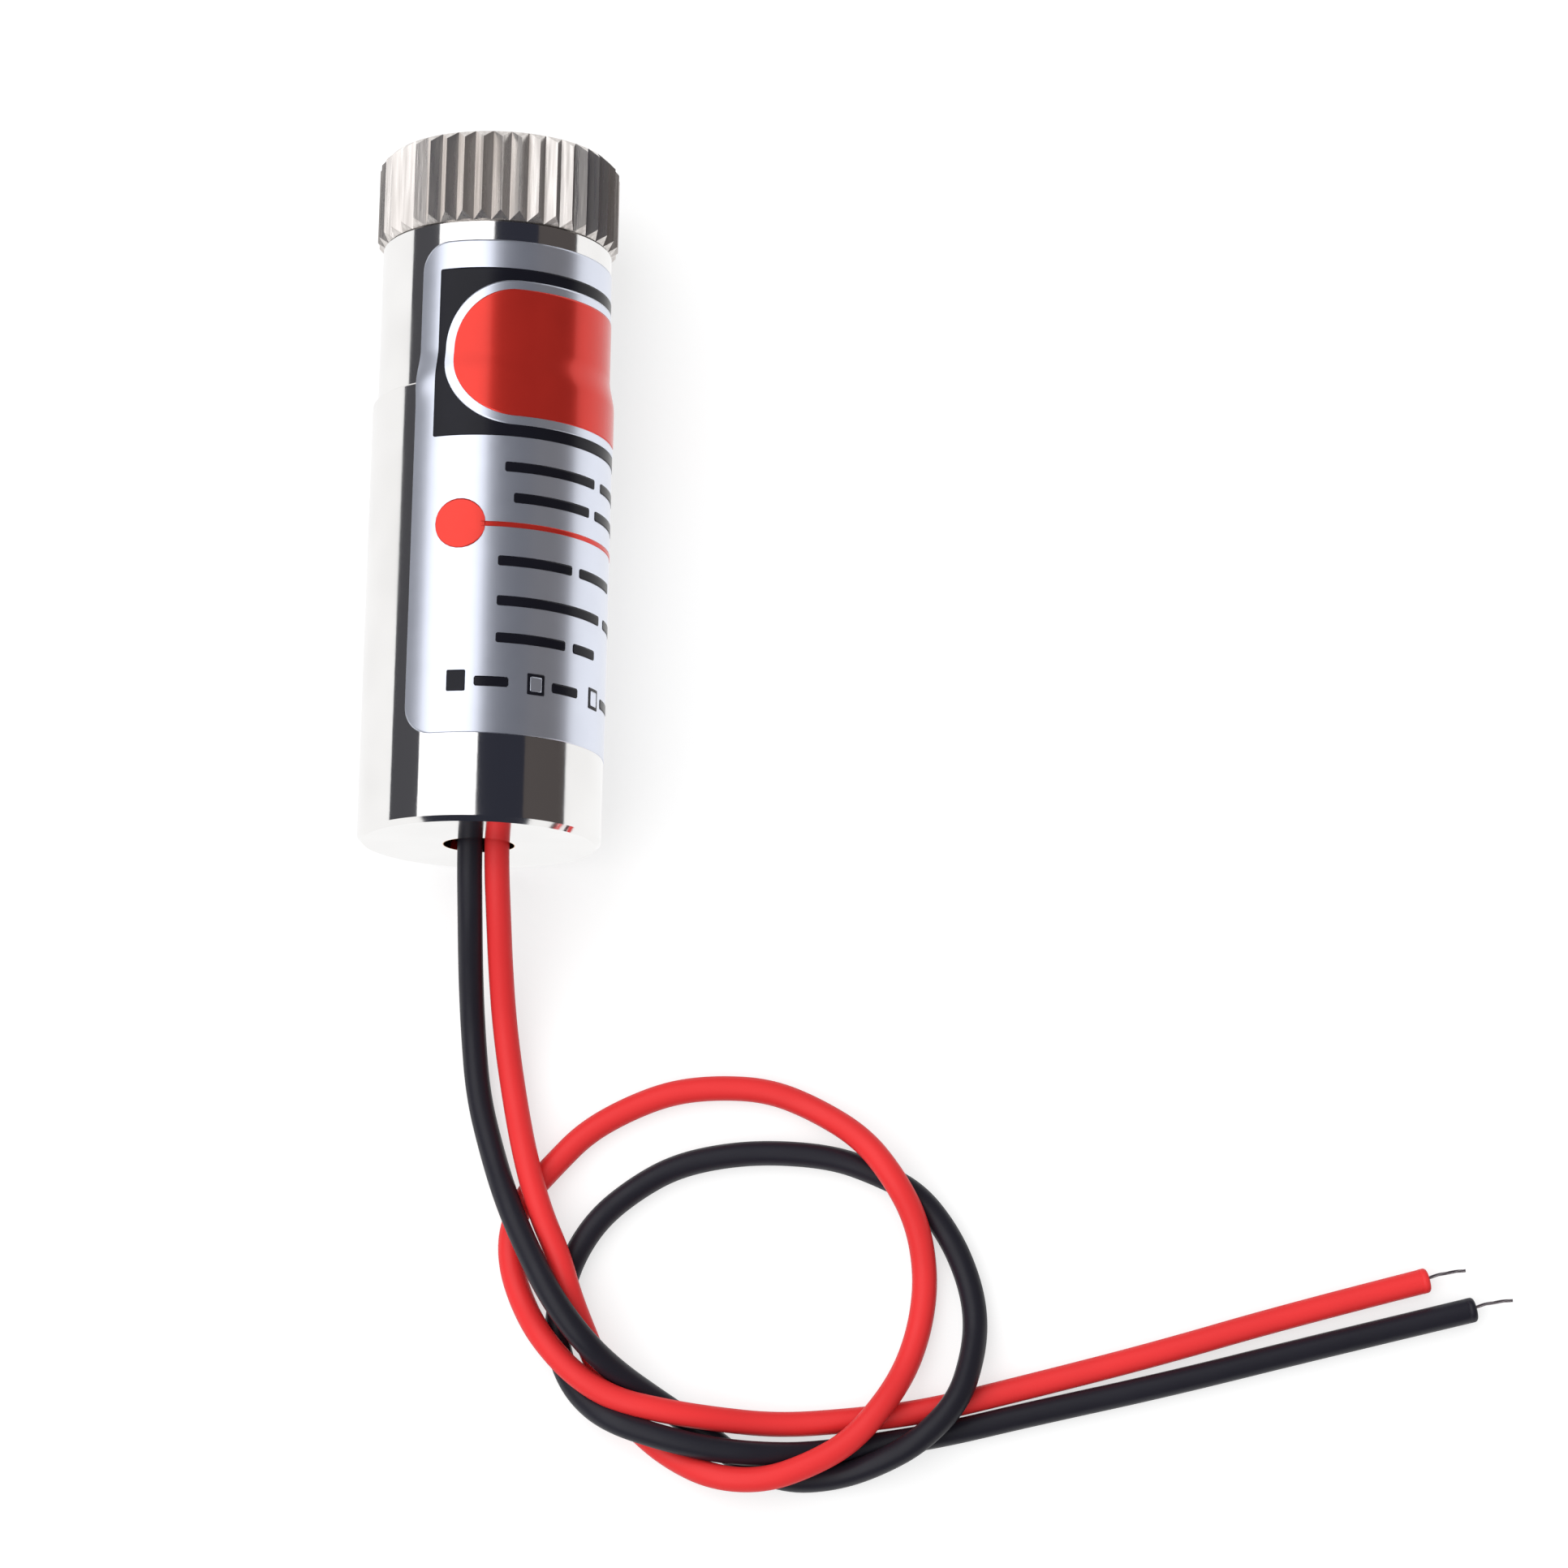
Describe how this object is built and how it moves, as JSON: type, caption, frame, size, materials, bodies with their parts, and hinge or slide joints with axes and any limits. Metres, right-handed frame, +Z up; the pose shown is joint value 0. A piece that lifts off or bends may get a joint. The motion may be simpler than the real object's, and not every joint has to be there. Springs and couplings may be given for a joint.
{
  "type": "laser diode module",
  "caption": "Cylindrical laser diode module with a knurled focus ring, a plated stepped barrel, a wrapped film label and two flexible leads with bare ends.",
  "frame": {"origin": "On the surface that the module lies on, under the middle of the barrel's box, leads left out.", "axes": "+Z is up from the surface; +Y runs along the lying barrel towards the focus ring; +X is to the right seen from the tail."},
  "size_m": [0.0574, 0.0666, 0.0121],
  "materials": {
    "ring_metal": "bright nickel plating on knurled brass",
    "neck_metal": "bright nickel plating on brass",
    "sleeve_metal": "bright nickel plating on brass",
    "lens_glass": "clear",
    "spring_steel": "drawn wire",
    "bare_brass": "turned",
    "diode_metal": "gold flash",
    "chip_black": "moulded",
    "board_green": "solder mask",
    "capacitor_tan": "moulded",
    "resistor_black": "glazed",
    "solder": "bright solder",
    "label_film": "silver film with a printed field",
    "wire_red": "satin insulation",
    "wire_black": "satin insulation",
    "tinned_strands": "tinned strands"
  },
  "bodies": {
    "barrel": {"front_housing": "neck_metal", "rear_housing": "sleeve_metal", "diode_holder": "bare_brass", "clamp_ring": "bare_brass", "diode_header": "diode_metal", "diode_cap": "diode_metal", "diode_window": "lens_glass", "diode_chip": "chip_black", "diode_leads": "diode_metal", "driver_board": "board_green", "driver_chip": "chip_black", "capacitor": "capacitor_tan", "resistors": "resistor_black", "solder_joints": "solder", "label": "label_film", "focus_spring": "spring_steel", "red_wire": "wire_red", "black_wire": "wire_black", "red_wire_strands": "tinned_strands", "black_wire_strands": "tinned_strands"},
    "spring_washer": {"spring_washer": "spring_steel"},
    "focus_ring": {"focus_ring": "ring_metal", "lens": "lens_glass", "lens_retainer": "ring_metal"}
  },
  "joints": [
    {"name": "focus_travel", "type": "slide", "parent": "barrel", "child": "spring_washer", "axis": [0, 1, 0.0014], "range_m": [0, 0.00075], "deforming": ["focus_spring"]},
    {"name": "focus_turn", "type": "hinge", "parent": "spring_washer", "child": "focus_ring", "pos_m": [0, 0.0145, 0.00604], "axis": [0, 1, 0.0014], "range_deg": [0, 540]}
  ],
  "couplings": [
    {"joint": "focus_travel", "follows": "focus_turn", "m_per_rad": 0.00007957}
  ]
}
